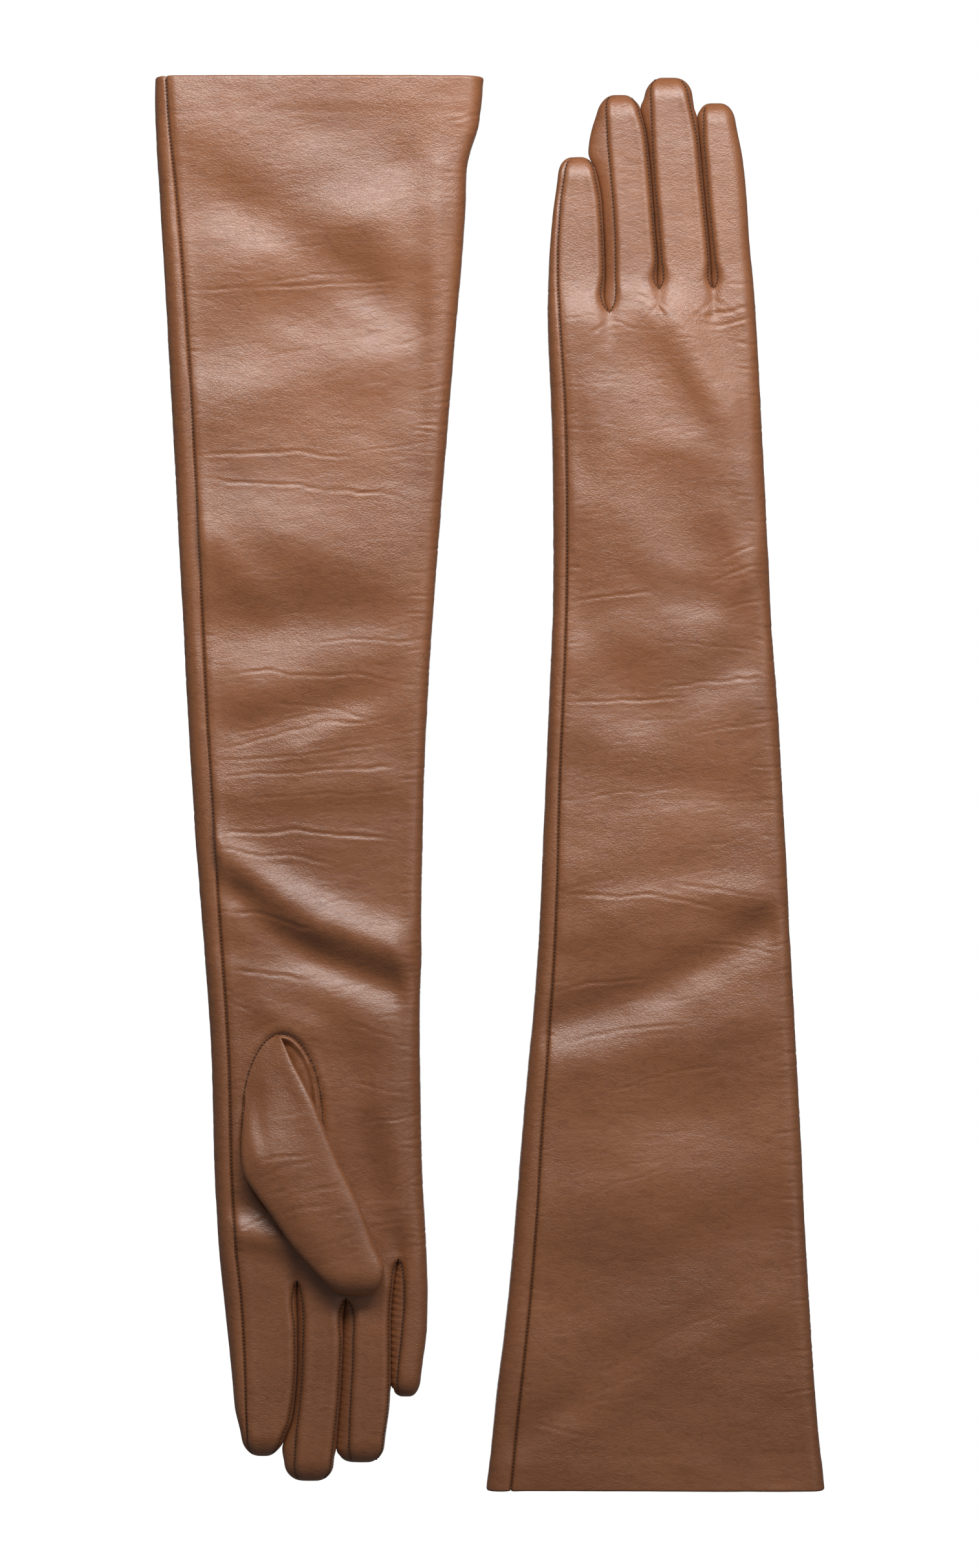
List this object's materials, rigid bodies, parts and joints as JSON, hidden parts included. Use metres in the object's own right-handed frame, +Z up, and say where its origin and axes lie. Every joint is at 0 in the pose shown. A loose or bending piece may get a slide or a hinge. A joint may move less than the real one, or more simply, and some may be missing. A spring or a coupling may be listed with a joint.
{
  "type": "leather gloves",
  "caption": "Pair of long leather gloves lying flat, one palm up with its thumb folded over, one palm down; soft tubes with fourchettes, set-in thumbs and turned cuffs.",
  "frame": {"origin": "centre of the underside of the pair's bounding box, on the surface the gloves lie on", "axes": "+Y along the gloves, towards the cuff of the right-hand glove and the fingertips of the left-hand glove; +X towards the left-hand glove; +Z up from the surface"},
  "size_m": [0.2681, 0.5674, 0.0218],
  "materials": {
    "leather": "soft smooth nappa with a satin sheen, fine grain and small wear creases",
    "thread": "matt dark brown sewing thread"
  },
  "bodies": {
    "right_hand": {"right_palm_panel": "leather", "right_back_panel": "leather", "right_outer_seam_thread": "thread", "right_under_seam_thread": "thread", "right_thumb_root": "leather", "right_thumb_gusset": "leather", "right_thumb_seam_thread": "thread"},
    "left_hand": {"left_back_panel": "leather", "left_palm_panel": "leather", "left_outer_seam_thread": "thread", "left_under_seam_thread": "thread", "left_thumb_root": "leather", "left_thumb_gusset": "leather", "left_thumb_seam_thread": "thread"},
    "right_index": {"right_index_palm": "leather", "right_index_back": "leather", "right_index_right_fourchette": "leather", "right_index_palm_seam_thread": "thread", "right_index_back_seam_thread": "thread"},
    "right_middle": {"right_middle_palm": "leather", "right_middle_back": "leather", "right_middle_right_fourchette": "leather", "right_middle_left_fourchette": "leather", "right_middle_palm_seam_thread": "thread", "right_middle_back_seam_thread": "thread"},
    "right_ring": {"right_ring_palm": "leather", "right_ring_back": "leather", "right_ring_right_fourchette": "leather", "right_ring_left_fourchette": "leather", "right_ring_palm_seam_thread": "thread", "right_ring_back_seam_thread": "thread"},
    "right_pinky": {"right_pinky_palm": "leather", "right_pinky_back": "leather", "right_pinky_left_fourchette": "leather", "right_pinky_palm_seam_thread": "thread", "right_pinky_back_seam_thread": "thread"},
    "right_thumb": {"right_thumb_stall": "leather"},
    "left_index": {"left_index_back": "leather", "left_index_palm": "leather", "left_index_left_fourchette": "leather", "left_index_back_seam_thread": "thread", "left_index_palm_seam_thread": "thread"},
    "left_middle": {"left_middle_back": "leather", "left_middle_palm": "leather", "left_middle_right_fourchette": "leather", "left_middle_left_fourchette": "leather", "left_middle_back_seam_thread": "thread", "left_middle_palm_seam_thread": "thread"},
    "left_ring": {"left_ring_back": "leather", "left_ring_palm": "leather", "left_ring_right_fourchette": "leather", "left_ring_left_fourchette": "leather", "left_ring_back_seam_thread": "thread", "left_ring_palm_seam_thread": "thread"},
    "left_pinky": {"left_pinky_back": "leather", "left_pinky_palm": "leather", "left_pinky_right_fourchette": "leather", "left_pinky_back_seam_thread": "thread", "left_pinky_palm_seam_thread": "thread"},
    "left_thumb": {"left_thumb_stall": "leather"}
  },
  "joints": [
    {"name": "left_glove_lift", "type": "slide", "parent": "right_hand", "child": "left_hand", "axis": [0, 0, 1], "range_m": [0, 0.15]},
    {"name": "right_index_bend", "type": "hinge", "parent": "right_hand", "child": "right_index", "pos_m": [-0.0928, -0.2, 0.012], "axis": [-1, 0, 0], "range_deg": [0, 90]},
    {"name": "right_middle_bend", "type": "hinge", "parent": "right_hand", "child": "right_middle", "pos_m": [-0.0669, -0.207, 0.012], "axis": [-1, 0, 0], "range_deg": [0, 90]},
    {"name": "right_ring_bend", "type": "hinge", "parent": "right_hand", "child": "right_ring", "pos_m": [-0.0475, -0.207, 0.012], "axis": [-1, 0, 0], "range_deg": [0, 90]},
    {"name": "right_pinky_bend", "type": "hinge", "parent": "right_hand", "child": "right_pinky", "pos_m": [-0.0308, -0.191, 0.012], "axis": [-1, 0, 0], "range_deg": [0, 90]},
    {"name": "right_thumb_lift", "type": "hinge", "parent": "right_hand", "child": "right_thumb", "pos_m": [-0.083, -0.14, 0.0218], "axis": [-1, 0, 0], "range_deg": [0, 75]},
    {"name": "left_index_bend", "type": "hinge", "parent": "left_hand", "child": "left_index", "pos_m": [0.099, 0.198, 0], "axis": [-1, 0, 0], "range_deg": [0, 90]},
    {"name": "left_middle_bend", "type": "hinge", "parent": "left_hand", "child": "left_middle", "pos_m": [0.0795, 0.198, 0], "axis": [-1, 0, 0], "range_deg": [0, 90]},
    {"name": "left_ring_bend", "type": "hinge", "parent": "left_hand", "child": "left_ring", "pos_m": [0.0589, 0.198, 0], "axis": [-1, 0, 0], "range_deg": [0, 90]},
    {"name": "left_pinky_bend", "type": "hinge", "parent": "left_hand", "child": "left_pinky", "pos_m": [0.0352, 0.1885, 0], "axis": [-1, 0, 0], "range_deg": [0, 90]},
    {"name": "left_thumb_lift", "type": "hinge", "parent": "left_hand", "child": "left_thumb", "pos_m": [0.081, 0.12674, 0], "axis": [-1, 0, 0], "range_deg": [0, 75]}
  ]
}
